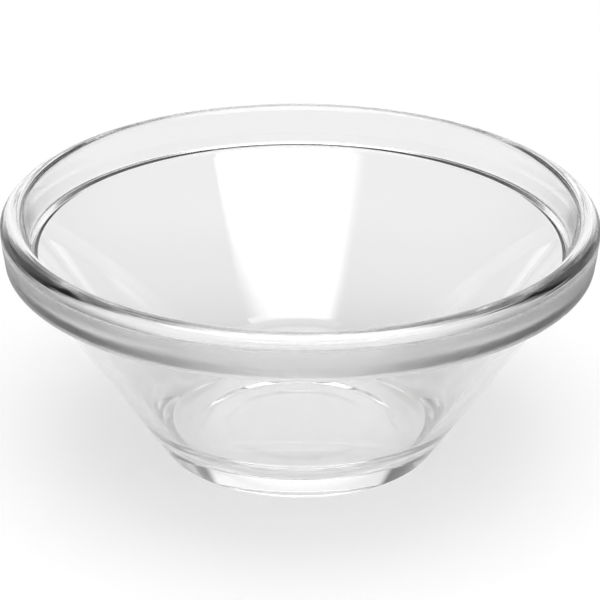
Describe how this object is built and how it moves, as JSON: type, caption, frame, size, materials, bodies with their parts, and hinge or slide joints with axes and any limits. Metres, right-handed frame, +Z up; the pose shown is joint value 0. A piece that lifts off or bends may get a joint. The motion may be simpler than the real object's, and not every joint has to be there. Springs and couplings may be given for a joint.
{
  "type": "glass salad bowl",
  "caption": "Clear pressed-glass salad bowl: conical wall, overhanging rounded rim band with an inner stacking ledge, thick flat base. Holds food and nests in a stack.",
  "frame": {"origin": "on the table, at the centre of the foot ring", "axes": "+Z up along the axis of revolution, out of the mouth; -Y faces the camera of the reference view"},
  "size_m": [0.12, 0.12, 0.0505],
  "materials": {
    "clear_glass": "clear, fire-polished pressed glass"
  },
  "bodies": {
    "root": {"glass_bowl": "clear_glass"}
  },
  "joints": []
}
